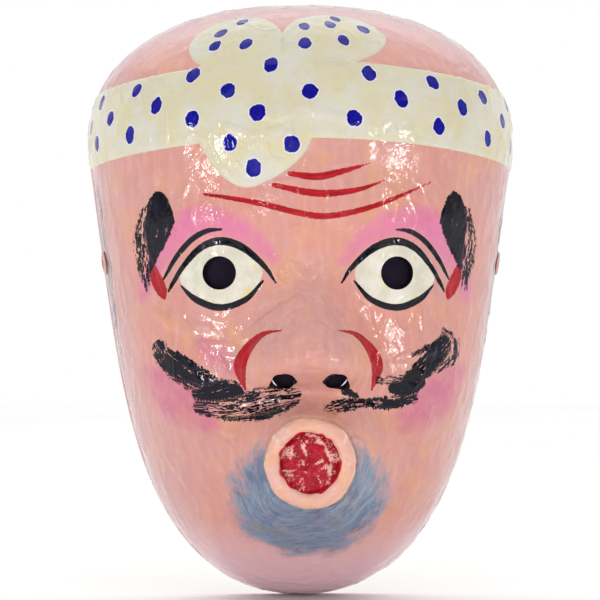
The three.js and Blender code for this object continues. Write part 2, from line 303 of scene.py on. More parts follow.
def put_field(obj, name, values):
    values = np.asarray(values, np.float32)
    kind, key = ("FLOAT", "value") if values.ndim == 1 else ("FLOAT_VECTOR", "vector")
    obj.data.attributes.new(name, kind, "POINT").data.foreach_set(key, values.ravel())


def lumps(points, size, seed):
    """Smooth noise from -1 to 1 at each point, with lumps of about this size in mm."""
    shift = Vector((seed * 13.7, seed * 7.1, seed * 3.3))
    return np.array([noise.noise(Vector(p) / size + shift) for p in points.tolist()])


def push_out(obj, amounts):
    points = coordinates(obj) + vectors(obj, "normal") * amounts[:, None]
    obj.data.vertices.foreach_set("co", (points * MM).ravel())
    obj.data.update()


def sharpen(obj, degrees):
    obj.data.set_sharp_from_angle(angle=math.radians(degrees))


def place(obj, node, slot, *materials):
    for material in materials:
        obj.data.materials.append(material)
    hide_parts(node)
    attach(obj, "root")


# ---- brush strokes
NOTHING = -9.0


def catmull_rom(a, b, c, d, t):
    cubic = (2 * a - 5 * b + 4 * c - d) * t ** 2 + (3 * b - a - 3 * c + d) * t ** 3
    return 0.5 * (2 * b + (c - a) * t + cubic)


def smooth_line(points, steps=9):
    """A line through points whose columns are sideways, below the crown and half-width."""
    p = np.array(points, float)
    p = np.vstack([2 * p[0] - p[1], p, 2 * p[-1] - p[-2]])
    t = np.linspace(0, 1, steps, endpoint=False)[:, None]
    line = []
    for a, b, c, d in zip(p[:-3], p[1:-2], p[2:-1], p[3:]):
        line.append(catmull_rom(a, b, c, d, t))
    return np.vstack([*line, p[-2][None, :]])


def stroke(x, below, points):
    """(ink, along, across) of one stroke: ink is above 0 inside it, and rounds off at its middle."""
    line = smooth_line(points)
    ink = np.full(x.shape, NOTHING)
    along = np.zeros(x.shape)
    across = np.zeros(x.shape)
    reach = line[:, 2].max() + 7
    near = (x > line[:, 0].min() - reach) & (x < line[:, 0].max() + reach)
    near &= (below > line[:, 1].min() - reach) & (below < line[:, 1].max() + reach)
    px, pz = x[near], below[near]
    best, far, side = ink[near], along[near], across[near]
    walked = 0.0
    for (ax, az, aw), (bx, bz, bw) in zip(line[:-1], line[1:]):
        dx, dz = bx - ax, bz - az
        length = math.hypot(dx, dz) or 1e-6
        t = np.clip(((px - ax) * dx + (pz - az) * dz) / length ** 2, 0, 1)
        offset = ((px - ax) * dz - (pz - az) * dx) / length
        distance = np.hypot(px - ax - t * dx, pz - az - t * dz)
        half = np.maximum(aw + (bw - aw) * t, 0.12)
        here = (half ** 2 - distance ** 2) / (2 * half)
        better = here > best
        best = np.where(better, here, best)
        far = np.where(better, walked + t * length, far)
        side = np.where(better, offset, side)
        walked += length
    ink[near], along[near], across[near] = best, far, side
    return ink, along, across


def ink_of(x, below, strokes):
    """All the strokes of one paint: the ink, the brush's own coordinates, and how dry it was."""
    total = np.full(x.shape, NOTHING)
    brush = np.zeros(x.shape + (3,))
    dry = np.zeros(x.shape)
    for number, (points, dryness) in enumerate(strokes):
        ink, along, across = stroke(x, below, points)
        wetter = ink > total
        total = np.where(wetter, ink, total)
        dry = np.where(wetter, dryness, dry)
        place_on_brush = np.stack([along, across, np.full_like(along, 10.0 * number)], axis=-1)
        brush = np.where(wetter[:, None], place_on_brush, brush)
    return total, brush, dry


def mirrored(points):
    return [(-x, below, half) for x, below, half in points]


def both(points, dryness=0.0):
    return [(points, dryness), (mirrored(points), dryness)]


LID = [(11.7, 108, 0.3), (15.8, 102, 0.95), (23.5, 95.3, 1.35), (31.5, 92.9, 1.5), (38.6, 95.2, 1.3),
       (44.6, 101.4, 1.0), (48.8, 108, 0.8), (50.4, 111, 0.4)]
LID_CREASE = [(31.2, 88.7, 0.5), (36.6, 89.3, 1.0), (42.2, 92.5, 1.1), (47.6, 98.6, 0.95),
              (52.2, 106.4, 0.5)]
LOWER_LID = [(46.2, 108.4, 0.3), (40.4, 113.8, 1.2), (31.7, 116.7, 1.25), (22.5, 113.8, 1.05),
             (16.4, 107.2, 0.5)]
BROW = [(54, 75.6, 1.5), (54, 79.5, 4.0), (54.4, 86, 5.7), (55.6, 92.5, 4.3), (56.6, 98, 2.4),
        (57, 103.5, 0.4)]
BROW_CORNER = [(51, 82, 2.2), (48.6, 86.2, 0.7)]
BROW_TAIL = [(58.8, 81, 1.6), (60, 91, 3.4), (59.6, 100, 3.0), (58.6, 110, 1.0)]
EYE_LEAF = [(56.2, 100.6, 0.5), (55.4, 105, 2.0), (53.2, 110, 2.2), (51.8, 113.6, 0.5)]
NASAL = [(10, 124.7, 0.2), (16.5, 126.2, 0.9), (22, 131.6, 1.8), (24.6, 138, 2.2), (22.6, 146.5, 0.3)]
WRINKLES = [
    [(-7, 68.9, 0.9), (2.5, 70, 1.35), (12.1, 68, 1.1), (23.7, 64.4, 0.2)],
    [(-12.6, 73, 0.9), (2.5, 75.9, 1.35), (16.9, 74.7, 1.0), (30.4, 69.8, 0.2)],
    [(-37.4, 76, 0.6), (-18, 79.4, 1.05), (-2.5, 83.2, 1.15), (8.3, 83.9, 1.15), (24.5, 80, 1.0),
     (44.6, 71.4, 0.5)],
]
NOSTRIL_DAB = [(14.0, 145, 0.6), (11.4, 143.6, 2.3), (8.4, 142.6, 2.6), (5.2, 143.0, 0.8)]
MOUSTACHE = [
    ([(-52.5, 133.5, 2.0), (-49.5, 136.4, 4.4), (-44, 139.5, 4.6), (-37, 142, 2.6),
      (-32.5, 143.5, 1.0)], 0.34),
    ([(-40, 148, 2.0), (-34, 147.4, 4.0), (-28, 146.2, 3.6), (-22.5, 148.6, 0.8)], 0.36),
    ([(-53.5, 131.5, 3.0), (-52, 135, 3.2), (-47, 139.5, 1.4)], 0.66),
    ([(-49, 141.5, 1.4), (-43, 144.6, 1.8), (-38, 146, 1.4)], 0.62),
    ([(-38, 152.5, 3.2), (-28, 152.8, 4.4), (-16, 150, 4.8), (-5, 147.8, 2.4)], 0.72),
    ([(-30, 157, 0.7), (-16, 155.2, 1.5), (-4.5, 150.6, 0.6)], 0.42),
    ([(52, 127.5, 1.6), (49.5, 131, 3.8), (44, 137, 4.0), (37, 142.5, 2.8)], 0.4),
    ([(31, 145.4, 2.4), (36, 145.2, 3.6), (40.5, 144, 2.4)], 0.2),
    ([(21.5, 151, 1.8), (30, 151, 2.6), (38.5, 149.6, 1.8)], 0.5),
    ([(5.5, 152.8, 1.0), (12, 151.4, 2.6), (20, 150.6, 1.5)], 0.66),
    ([(13, 146.6, 1.4), (17, 148.4, 0.9)], 0.3),
    ([(50.5, 125.5, 1.4), (54, 129.5, 2.6), (53, 135, 2.8), (48, 139.5, 1.4)], 0.72),
    ([(25, 142.5, 1.4), (33, 143.2, 2.0)], 0.72),
    ([(38, 133.5, 0.8), (44, 131.5, 1.4)], 0.5),
]
# the sideburns' hairs, as distances in front of the back and below the crown
SIDEBURN = [
    [(7 + 2.9 * hair, 60 + 5 * (hair % 3), 0.5), (9.5 + 3.1 * hair, 84, 1.5), (9 + 3.2 * hair, 112, 1.4),
     (6.5 + 3.1 * hair, 146 - 5 * (hair % 4), 0.5)]
    for hair in range(6)
]
BLACK_STROKES = [
    *both(LID), *both(LID_CREASE), *both(LOWER_LID), *both(BROW, 0.2), *both(BROW_CORNER),
    *both(BROW_TAIL, 0.7), *both(NOSTRIL_DAB), *MOUSTACHE,
]
RED_STROKES = [*both(EYE_LEAF), *both(NASAL), *((line, 0.0) for line in WRINKLES)]
EYE_BLUSH = [(12, 100, 0.8), (20, 92, 2.5), (31, 86.5, 4), (42, 86.5, 5), (50, 93, 4.5), (57, 104, 2.4),
             (60, 113, 1.0)]
CHEEK_BLUSH = [(56, 141, 3), (47, 150, 7.5), (36, 157.5, 4)]
MOUSTACHE_BLUSH = [(-26, 139.5, 1.5), (-33, 134, 3.5), (-38, 130, 1.5)]


def soft(x, below, points):
    """A brushed-out patch of colour, from 0 to 1, round a stroke."""
    ink, _, _ = stroke(x, below, points)
    return smoothstep(ink, -4.0, 3.0)


def eye_white(x, below):
    """Above 0 inside the almond of the eyeball, in mm."""
    dx = (np.abs(x) - EYE_X + 0.4) / 15.0
    dz = (below - EYE_BELOW - 0.2) / 11.4
    return 5.5 * (1 - (np.abs(dx) ** 1.75 + np.abs(dz) ** 1.75))


def paint_face(obj):
    """Puts every paint's field on the shell's vertices."""
    points = coordinates(obj)
    x, depth, below = points[:, 0], -points[:, 1], CROWN - points[:, 2]
    black, brush, dry = ink_of(x, below, BLACK_STROKES)
    red, red_brush, _ = ink_of(x, below, RED_STROKES)
    eyes = np.maximum(soft(x, below, EYE_BLUSH), soft(x, below, mirrored(EYE_BLUSH)))
    cheeks = np.maximum(soft(x, below, CHEEK_BLUSH), soft(x, below, mirrored(CHEEK_BLUSH)))
    cheeks = np.maximum(cheeks, soft(x, below, MOUSTACHE_BLUSH))
    from_mouth = np.hypot(x, below - MOUTH_BELOW)
    turn = np.arctan2(below - MOUTH_BELOW, x)
    uneven = 2.2 * np.sin(2 * turn + 0.6) + 1.4 * np.sin(5 * turn) + 0.05 * x
    oval = np.hypot(x / 31.5, (below - 184.5) / 25.0)
    on_wall = np.where(np.abs(x) > 45, depth, -99)
    burn, burn_brush, _ = ink_of(on_wall, below, [(line, 0.0) for line in SIDEBURN])
    fields = {
        "black": black, "brush": brush, "dry": dry, "red": red, "red_brush": red_brush,
        "white": eye_white(x, below), "eye_blush": eyes, "cheek_blush": cheeks,
        "round_mouth": np.stack([turn * 22, from_mouth + uneven, np.zeros_like(turn)], axis=-1),
        "beard": 1 - smoothstep(oval, 0.62, 1.14), "lip": 1 - smoothstep(from_mouth, 15.2, 16.8),
        # edge and pale mark where the skin is tinted cooler and paler toward the side walls, the chin and
        # the crown: painted sheen, standing in for the varnish's reflections there
        "edge": 1 - smoothstep(depth, 10, 66),
        "pale": np.maximum(smoothstep(below, 190, 222), 0.5 - 0.5 * smoothstep(below, 4, 40)),
        "sideburn": burn, "burn_brush": burn_brush,
    }
    for name, values in fields.items():
        put_field(obj, name, values)


# ---- materials
def rgb(red, green, blue):
    """A colour as it looks on a screen, 0 to 255, as a linear colour."""
    def linear(value):
        value /= 255
        return value / 12.92 if value <= 0.04045 else ((value + 0.055) / 1.055) ** 2.4
    return (linear(red), linear(green), linear(blue), 1.0)


class Paint:
    """A procedural material: each call adds one node and gives back its output."""

    def __init__(self, name, **surface):
        self.material = bpy.data.materials.new(name)
        self.material.use_nodes = True
        self.tree = self.material.node_tree
        self.tree.nodes.clear()
        output = self.tree.nodes.new("ShaderNodeOutputMaterial")
        self.bsdf = self.tree.nodes.new("ShaderNodeBsdfPrincipled")
        self.tree.links.new(self.bsdf.outputs["BSDF"], output.inputs["Surface"])
        self.set(**surface)

    def plug(self, socket, value):
        if isinstance(value, bpy.types.NodeSocket):
            self.tree.links.new(value, socket)
        else:
            socket.default_value = value

    def set(self, **surface):
        for name, value in surface.items():
            self.plug(self.bsdf.inputs[name.replace("_", " ").title().replace("Ior", "IOR")], value)

    def place(self):
        return self.tree.nodes.new("ShaderNodeTexCoord").outputs["Object"]

    def field(self, name, vector=False):
        node = self.tree.nodes.new("ShaderNodeAttribute")
        node.attribute_name = name
        return node.outputs["Vector" if vector else "Fac"]

    def math(self, operation, a, b):
        node = self.tree.nodes.new("ShaderNodeMath")
        node.operation = operation
        self.plug(node.inputs[0], a)
        self.plug(node.inputs[1], b)
        return node.outputs[0]

    def times(self, a, b):
        return self.math("MULTIPLY", a, b)

    def plus(self, a, b):
        return self.math("ADD", a, b)

    def roughen(self, value, noise, amount):
        """Adds noise round 0 to a value."""
        return self.plus(value, self.times(self.math("SUBTRACT", noise, 0.5), amount))

    def stretch(self, vector, scale):
        node = self.tree.nodes.new("ShaderNodeVectorMath")
        node.operation = "MULTIPLY"
        self.plug(node.inputs[0], vector)
        node.inputs[1].default_value = scale
        return node.outputs[0]

    def noise(self, vector, scale, detail=2.0, rough=0.5, distortion=0.0):
        node = self.tree.nodes.new("ShaderNodeTexNoise")
        self.plug(node.inputs["Vector"], vector)
        names = ("Scale", "Detail", "Roughness", "Distortion")
        for name, number in zip(names, (scale, detail, rough, distortion)):
            node.inputs[name].default_value = number
        return node.outputs["Fac"]

    def lumps(self, size, detail=2.0, rough=0.5, stretch=(1, 1, 1), distortion=0.0):
        """Noise over the object, with lumps of about this size in mm."""
        return self.noise(self.stretch(self.place(), stretch), 1 / (size * MM), detail, rough, distortion)

    def cells(self, size):
        """Distance to the nearest border between cells of about this size in mm."""
        node = self.tree.nodes.new("ShaderNodeTexVoronoi")
        node.feature = "DISTANCE_TO_EDGE"
        self.plug(node.inputs["Vector"], self.place())
        node.inputs["Scale"].default_value = 1 / (size * MM)
        return node.outputs["Distance"]

    def step(self, value, low, high, to_low=0.0, to_high=1.0):
        node = self.tree.nodes.new("ShaderNodeMapRange")
        node.interpolation_type = "SMOOTHSTEP"
        self.plug(node.inputs["Value"], value)
        for name, number in (("From Min", low), ("From Max", high), ("To Min", to_low), ("To Max", to_high)):
            node.inputs[name].default_value = number
        return node.outputs["Result"]

    def mix(self, share, first, second):
        node = self.tree.nodes.new("ShaderNodeMix")
        node.data_type = "RGBA"
        colour_a, colour_b = node.inputs[6], node.inputs[7]
        self.plug(node.inputs["Factor"], share)
        self.plug(colour_a, first)
        self.plug(colour_b, second)
        return node.outputs[2]

    def tint(self, colour, tint, noise, low, high, most=1.0):
        """Lays a tint over the colour where the noise is high."""
        return self.mix(self.step(noise, low, high, 0, most), colour, rgb(*tint))

    def bump(self, height, depth_mm, under=None):
        node = self.tree.nodes.new("ShaderNodeBump")
        node.inputs["Distance"].default_value = depth_mm * MM
        self.plug(node.inputs["Height"], height)
        if under is not None:
            self.plug(node.inputs["Normal"], under)
        return node.outputs["Normal"]

    def varnished(self, colour):
        """The material in this colour under brushed varnish: wet-looking, duller where it soaked in."""
        coarse, fine = self.lumps(5.0, 3, 0.6), self.lumps(1.7, 3, 0.6)
        self.set(base_color=colour, roughness=self.step(self.lumps(9, 4, 0.65), 0.35, 0.75, 0.06, 0.16),
                 normal=self.bump(fine, 0.07, self.bump(coarse, 0.42)))
        return self.material


VARNISH = {"specular_ior_level": 0.26}
# the cooler, paler pink of the side walls: painted sheen laid over the skin paint
SIDE_SHEEN_PINK = rgb(202, 158, 162)


def skin_colour(s):
    """Brushed pink, with paler and warmer patches and fine streaks."""
    patches = s.step(s.lumps(34, 3, 0.6), 0.36, 0.66)
    colour = s.mix(patches, rgb(212, 147, 134), rgb(206, 151, 144))
    warm = s.step(s.lumps(15, 3, 0.65, (1.2, 1, 0.8)), 0.48, 0.7)
    colour = s.mix(s.times(warm, 0.6), colour, rgb(218, 158, 118))
    streaks = s.lumps(3.2, 4, 0.65, (1, 1, 0.22))
    colour = s.tint(colour, (228, 186, 178), streaks, 0.45, 0.8, 0.3)
    colour = s.tint(colour, (188, 130, 122), streaks, 0.5, 0.2, 0.32)
    colour = s.tint(colour, (228, 184, 168), s.lumps(7, 4, 0.7, (0.5, 1, 1), 1.2), 0.56, 0.72, 0.3)
    return s.tint(colour, (240, 205, 190), s.lumps(0.9, 2, 0.7), 0.72, 0.8, 0.35)


def blue_stubble(s, colour):
    """Stubble brushed round the mouth."""
    hairs = s.noise(s.stretch(s.field("round_mouth", vector=True), (0.14, 1.0, 1.0)), 0.75, 5, 0.72, 1.1)
    blue = s.mix(s.step(hairs, 0.3, 0.7), rgb(76, 98, 130), rgb(132, 150, 172))
    blue = s.tint(blue, (122, 128, 118), s.lumps(6, 3), 0.52, 0.68, 0.6)
    blue = s.tint(blue, (66, 86, 120), s.lumps(10, 3), 0.52, 0.68, 0.6)
    ragged = s.plus(s.times(hairs, 0.7), s.times(s.lumps(8, 3, 0.6), 0.8))
    thick = s.plus(s.field("beard"), s.times(s.math("SUBTRACT", ragged, 0.75), 1.9))
    beard = s.times(s.step(thick, 0.0, 0.95), s.step(s.field("beard"), 0.0, 0.35))
    return s.mix(beard, colour, blue)


def sideburns(s, colour):
    """Thin grey strokes down the temples."""
    strands = s.noise(s.stretch(s.field("burn_brush", vector=True), (0.08, 1.0, 1.0)), 1.25, 4, 0.7, 0.3)
    burn = s.step(s.roughen(s.field("sideburn"), s.lumps(2.2, 4, 0.75, (1, 1, 0.4)), 4.0), -0.2, 0.3)
    return s.mix(s.times(burn, s.step(strands, 0.44, 0.5, 0, 0.92)), colour, rgb(44, 44, 62))


def eyeballs(s, colour):
    white = s.step(s.roughen(s.field("white"), s.lumps(3, 2), 0.8), -0.12, 0.12)
    ivory = s.mix(s.step(s.lumps(7, 3, 0.6), 0.35, 0.7), rgb(208, 202, 184), rgb(224, 219, 206))
    return s.mix(white, colour, s.tint(ivory, (222, 200, 110), s.lumps(5, 1), 0.66, 0.76, 0.6))


def red_strokes(s, colour):
    """Red strokes, thinner where the brush ran out."""
    streaks = s.noise(s.stretch(s.field("red_brush", vector=True), (0.12, 1.0, 1.0)), 1.3, 3, 0.6)
    shade = s.mix(s.step(streaks, 0.35, 0.7), rgb(146, 8, 24), rgb(196, 16, 34))
    red = s.step(s.roughen(s.field("red"), s.lumps(1.4, 2), 0.5), -0.1, 0.1)
    return s.mix(s.times(red, 0.97), colour, shade)


def black_strokes(s, colour):
    """Black strokes, broken into hairs where the brush was dry."""
    brush, dry = s.field("brush", vector=True), s.field("dry")
    hairs = s.noise(s.stretch(brush, (0.13, 1.0, 1.0)), 1.15, 3, 0.65, 0.3)
    flecks = s.noise(s.stretch(brush, (0.5, 1.0, 1.0)), 1.6, 2, 0.6)
    bristles = s.plus(s.times(hairs, 0.68), s.times(flecks, 0.32))
    left = s.math("SUBTRACT", bristles, s.plus(s.times(dry, 0.27), 0.285))
    edge = s.times(s.math("SUBTRACT", s.lumps(1.4, 4, 0.75), 0.5), 0.7)
    edge = s.times(edge, s.step(dry, 0.0, 0.4, 0.7, 6.5))
    inside = s.step(s.plus(s.field("black"), edge), -0.08, 0.1)
    black = s.times(inside, s.step(left, -0.012, 0.012))
    ink = s.mix(s.step(s.lumps(4, 3), 0.4, 0.8), rgb(4, 3, 16), rgb(12, 11, 36))
    return s.mix(black, colour, ink)


def painted_skin():
    s = Paint("painted_skin", **VARNISH)
    # painted sheen: cooler pink toward the side walls, paler pink on the chin and the crown, for the
    # varnish's reflections there
    colour = s.mix(s.times(s.field("edge"), 0.8), skin_colour(s), rgb(192, 154, 158))
    colour = s.mix(s.times(s.field("pale"), 0.8), colour, rgb(226, 190, 200))
    ragged = s.lumps(6, 3, 0.6)
    eye = s.times(s.field("eye_blush"), s.step(ragged, 0.15, 0.75, 0.5, 1.0))
    colour = s.mix(s.times(eye, 0.9), colour, rgb(216, 112, 164))
    cheek = s.times(s.field("cheek_blush"), s.step(ragged, 0.2, 0.8, 0.35, 0.95))
    colour = s.mix(s.times(cheek, 0.85), colour, rgb(196, 96, 138))
    colour = s.mix(s.field("lip"), blue_stubble(s, colour), rgb(228, 184, 158))
    for layer in (sideburns, eyeballs, red_strokes, black_strokes):
        colour = layer(s, colour)
    return s.varnished(colour)


def raw_pulp(name="raw_pulp", tint=(198, 182, 152)):
    """Bare layered paper inside the shell: tan, fibrous and matt, with the print of the mould."""
    s = Paint(name)
    fibres = s.lumps(1.6, 4, 0.7, (1, 1, 0.3), 1.5)
    layers = s.lumps(22, 3, 0.6)
    colour = s.mix(s.step(layers, 0.35, 0.68), rgb(*tint), rgb(*(int(v * 0.87) for v in tint)))
    colour = s.tint(colour, (224, 212, 186), fibres, 0.52, 0.72, 0.5)
    colour = s.tint(colour, (128, 104, 76), s.lumps(1.0, 2, 0.7), 0.7, 0.78, 0.5)
    colour = s.tint(colour, (170, 130, 104), s.lumps(48, 2), 0.55, 0.72, 0.35)
    s.set(base_color=colour, roughness=s.step(fibres, 0.2, 0.8, 0.78, 0.95),
          normal=s.bump(fibres, 0.35, s.bump(s.lumps(7, 3), 0.7)))
    return s.material


def cut_edge():
    """The pierced wall of a hole: painted dark where the brush reached in, which is also painted shade for
    the dark seen inside the holes, and bare pulp where it missed.
    """
    s = Paint("cut_pulp_edge")
    missed = s.step(s.lumps(3, 3, 0.7), 0.56, 0.66)
    # the dark wall colour is brush paint and painted shade together
    s.set(base_color=s.mix(missed, rgb(40, 33, 46), rgb(222, 206, 190)), roughness=s.lumps(2, 2),
          normal=s.bump(s.lumps(0.8, 3), 0.2))
    return s.material


def banded_cloth():
    """Cream paint brushed over the band, with blue dots that have a pale wet rim."""
    s = Paint("dotted_headband", **VARNISH)
    brushed = s.lumps(4.5, 4, 0.65, (0.35, 1, 1.3), 0.6)
    patches = s.lumps(13, 3, 0.6)
    colour = s.mix(s.step(patches, 0.36, 0.66), rgb(207, 199, 168), rgb(209, 205, 192))
    colour = s.tint(colour, (216, 204, 138), brushed, 0.5, 0.78, 0.55)
    colour = s.tint(colour, (186, 184, 176), brushed, 0.46, 0.2, 0.45)
    dot = s.roughen(s.field("dot"), s.lumps(2.6, 3), 1.8)
    colour = s.tint(colour, (226, 223, 236), dot, -0.5, -0.28, 0.75)
    blue = s.mix(s.step(s.lumps(2.4, 3), 0.45, 0.75), rgb(12, 10, 132), rgb(28, 24, 156))
    colour = s.mix(s.step(dot, -0.12, 0.1), colour, blue)
    return s.varnished(colour)


def lip_paint():
    s = Paint("peach_lip", **VARNISH)
    patches = s.lumps(7, 3, 0.6)
    colour = s.mix(s.step(patches, 0.35, 0.7), rgb(228, 172, 144), rgb(226, 176, 166))
    # paler cream and pinkish-white patches: partly the paint's own tone, partly painted highlights, laid at
    # random
    colour = s.tint(colour, (232, 188, 138), s.lumps(5, 3, 0.7), 0.56, 0.72, 0.6)
    colour = s.tint(colour, (238, 212, 204), s.lumps(6, 4, 0.7, distortion=1.0), 0.55, 0.68, 0.6)
    colour = s.tint(colour, (184, 24, 40), s.field("red"), -0.12, 0.12)
    return s.varnished(colour)


def red_paint():
    s = Paint("wrinkled_red", **VARNISH)
    creases = s.cells(3.4)
    wrinkles = s.lumps(2.4, 4, 0.6, distortion=1.6)
    # darker red in the wrinkles' hollows and along the creases: painted shade
    colour = s.mix(s.step(wrinkles, 0.4, 0.68), rgb(158, 12, 34), rgb(200, 24, 46))
    colour = s.mix(s.step(creases, 0.0, 0.12, 0.3, 0), colour, rgb(120, 8, 24))
    # painted highlights: pale pink patches standing in for glints on the wrinkled varnish
    patches = s.times(s.lumps(9, 3, 0.6, distortion=1.5), 0.6)
    painted_glints = s.plus(patches, s.times(s.lumps(1.8, 4, 0.7, distortion=2.0), 0.4))
    colour = s.tint(colour, (246, 196, 186), painted_glints, 0.535, 0.56, 0.85)
    s.set(base_color=colour, roughness=s.step(wrinkles, 0.35, 0.75, 0.08, 0.22),
          normal=s.bump(wrinkles, 0.6, s.bump(creases, 0.3)))
    return s.material


def edge_paper():
    """The rim strip: skin paint outside and over the edge, bare paper inside, with a ragged line."""
    skin_from = 0.46
    s = Paint("painted_edge_strip", **VARNISH)
    fibres = s.lumps(1.4, 4, 0.7, distortion=1.0)
    paper = s.mix(s.step(fibres, 0.4, 0.7), rgb(196, 178, 146), rgb(220, 206, 178))
    # skin paint tinted toward the sides' painted sheen
    skin = s.mix(0.7, skin_colour(s), SIDE_SHEEN_PINK)
    ragged = s.roughen(s.field("inward"), s.lumps(5, 4, 0.7), 0.3)
    colour = s.mix(s.step(ragged, skin_from, skin_from + 0.02), skin, paper)
    s.set(base_color=colour, roughness=s.step(ragged, skin_from, skin_from + 0.05, 0.2, 0.9),
          normal=s.bump(fibres, 0.2))
    return s.material


def shade_gauze_weave():
    """Black cloth in plain weave, a thread every 0.8 mm, set behind the holes as painted shade for the dark
    inside seen through them.
    """
    s = Paint("black_gauze", roughness=0.95, specular_ior_level=0.1)
    split = s.tree.nodes.new("ShaderNodeSeparateXYZ")
    s.plug(split.inputs[0], s.stretch(s.place(), (1 / MM,) * 3))
    warp, weft = (s.math("SINE", s.times(split.outputs[axis], 2 * math.pi / 0.8), 0.0) for axis in "XZ")
    threads = s.math("MAXIMUM", warp, weft)
    tint = s.mix(s.step(s.lumps(5, 3), 0.4, 0.7), rgb(36, 28, 44), rgb(42, 34, 50))
    s.set(base_color=s.mix(s.step(threads, 0.0, 0.9), rgb(25, 19, 32), tint), normal=s.bump(threads, 0.12))
    return s.material


def old_brass():
    """Tarnished brass, brushed over with the skin paint outside and worn bare round the bore."""
    s = Paint("eyelet_brass")
    tarnish = s.lumps(2.2, 4, 0.65)
    metal = s.mix(s.step(tarnish, 0.4, 0.7), rgb(196, 158, 92), rgb(142, 108, 62))
    painted = s.step(s.roughen(s.field("painted"), s.lumps(1.3, 3, 0.7), 1.2), 0.45, 0.5)
    # the painted flange takes the skin paint tinted toward the sides' painted sheen
    s.set(base_color=s.mix(painted, metal, s.mix(0.6, skin_colour(s), SIDE_SHEEN_PINK)),
          metallic=s.math("SUBTRACT", 1.0, painted), roughness=s.step(tarnish, 0.3, 0.8, 0.26, 0.5),
          normal=s.bump(s.lumps(0.7, 3), 0.05))
    return s.material


# ---- the shell
# lumps of the pasted paper: size, height and seed
BUMPS = ((12.0, 0.34, 3), (5.0, 0.17, 5), (2.2, 0.05, 8))
STREAK_SEED = 21
FOLDS = [
    [(-24, 128, 0.6), (-14, 121, 1.4), (-3.5, 113.4, 0.6)],
    [(0.3, 111, 0.5), (-0.3, 121, 1.2), (0.4, 132, 0.5)],
    [(3.4, 112, 0.5), (4.4, 121, 1.1), (3.6, 131, 0.5)],
    [(-39, 129.6, 0.5), (-30, 131, 1.2), (-24.4, 133, 1.0), (-23, 140, 0.5)],
    [(32, 135.6, 0.5), (39, 133.6, 1.2), (46, 132.4, 0.5)],
    [(25.4, 132, 0.5), (27, 141, 1.2), (30.5, 149, 0.5)],
    [(-56, 118, 0.5), (-46, 124, 1.2), (-36, 124, 0.6)],
    [(-6, 101, 0.6), (-1, 105, 1.2), (4, 102, 0.6)],
]


def moulded(points):
    """The lie of the pasted paper strips under the paint, in mm, at points of the face."""
    height = sum(rise * lumps(points, size, seed) for size, rise, seed in BUMPS)
    for fold in FOLDS:
        ink, _, _ = stroke(points[:, 0], CROWN - points[:, 2], fold)
        height = height + 0.45 * smoothstep(ink, -2.4, 0.5)
    creases = np.abs(lumps(points * (1.0, 1.0, 0.55), 9.0, STREAK_SEED))
    return height + 0.3 * np.clip(1 - creases / 0.14, 0, 1) ** 1.5


def two_grids(name, outer, inner):
    """A closed shell from two rings of rows whose last columns are joined at the rim."""
    rows, wide, narrow = len(outer), outer.shape[1], inner.shape[1]
    front = quads(rows, wide, rows)
    back = quads(rows, narrow, rows, rows * wide)[:, ::-1]
    row = np.arange(rows)
    outer_rim = row * wide + wide - 1
    inner_rim = rows * wide + row * narrow + narrow - 1
    rim = np.stack([outer_rim, inner_rim, np.roll(inner_rim, -1), np.roll(outer_rim, -1)], 1)
    faces = np.concatenate([front, back, rim]).tolist()
    obj = mesh_object(name, np.concatenate([outer.reshape(-1, 3), inner.reshape(-1, 3)]), faces)
    index = [0] * len(front) + [1] * (len(back) + rows)
    obj.data.polygons.foreach_set("material_index", index)
    tidy_mesh(obj)
    return obj


def grid_normals(points, wrapped=False):
    """Outward directions over a grid of shell points."""
    if wrapped:
        around = np.roll(points, -1, 0) - np.roll(points, 1, 0)
    else:
        around = np.gradient(points, axis=0)
    normals = np.cross(around, np.gradient(points, axis=1))
    normals /= np.linalg.norm(normals, axis=-1, keepdims=True) + 1e-12
    middle = np.array([0.0, -10.0, HUB])
    if ((points - middle) * normals).sum() < 0:
        normals = -normals
    return normals


def face_normals(x, z, reach=0.1):
    """Outward directions of the face where it looks forward."""
    across = (face_depth(x + reach, z) - face_depth(x - reach, z)) / (2 * reach)
    up = (face_depth(x, z + reach) - face_depth(x, z - reach)) / (2 * reach)
    normals = np.stack([-across, -np.ones_like(x), -up], axis=-1)
    return normals / np.linalg.norm(normals, axis=-1, keepdims=True)


def tube_mesh(name, centre, axis, radius_x, radius_z, length, turn=0.0):
    """A closed round or oval cutter along an axis, from centre - length/2 to centre + length/2."""
    bm = bmesh.new()
    bmesh.ops.create_cone(bm, cap_ends=True, segments=56, radius1=1, radius2=1, depth=length * MM)
    scale = Matrix.Diagonal((radius_x * MM, radius_z * MM, 1, 1))
    facing = Vector(axis).normalized().to_track_quat("Z", "Y").to_matrix().to_4x4()
    place_at = Matrix.Translation(Vector(centre) * MM)
    bm.transform(place_at @ facing @ Matrix.Rotation(turn, 4, "Z") @ scale)
    return from_bmesh(name, bm)


def cut_holes(obj, cutters, slot):
    """Cuts the cutters out of obj; the walls of the cuts get a material slot."""
    for cutter in cutters:
        cutter.data.polygons.foreach_set("material_index", [slot] * len(cutter.data.polygons))
        cut = obj.modifiers.new("cut", "BOOLEAN")
        cut.operation = "DIFFERENCE"
        cut.solver = "MANIFOLD"
        cut.object = cutter
    graph = bpy.context.evaluated_depsgraph_get()
    result = bpy.data.meshes.new_from_object(obj.evaluated_get(graph))
    obj.modifiers.clear()
    obj.data = result
    for cutter in cutters:
        bpy.data.objects.remove(cutter)


SPOUT_AXIS = np.array([-math.tan(SPOUT_TURN), -1.0, math.tan(SPOUT_LIFT)])
SPOUT_AXIS /= np.linalg.norm(SPOUT_AXIS)
SPOUT_SEAT = np.array([0.0, -RIM_SETBACK - SEAT_DEPTH, CROWN - MOUTH_BELOW])
CORD_BEARING = math.radians(15)
CORD_DEPTH = 14


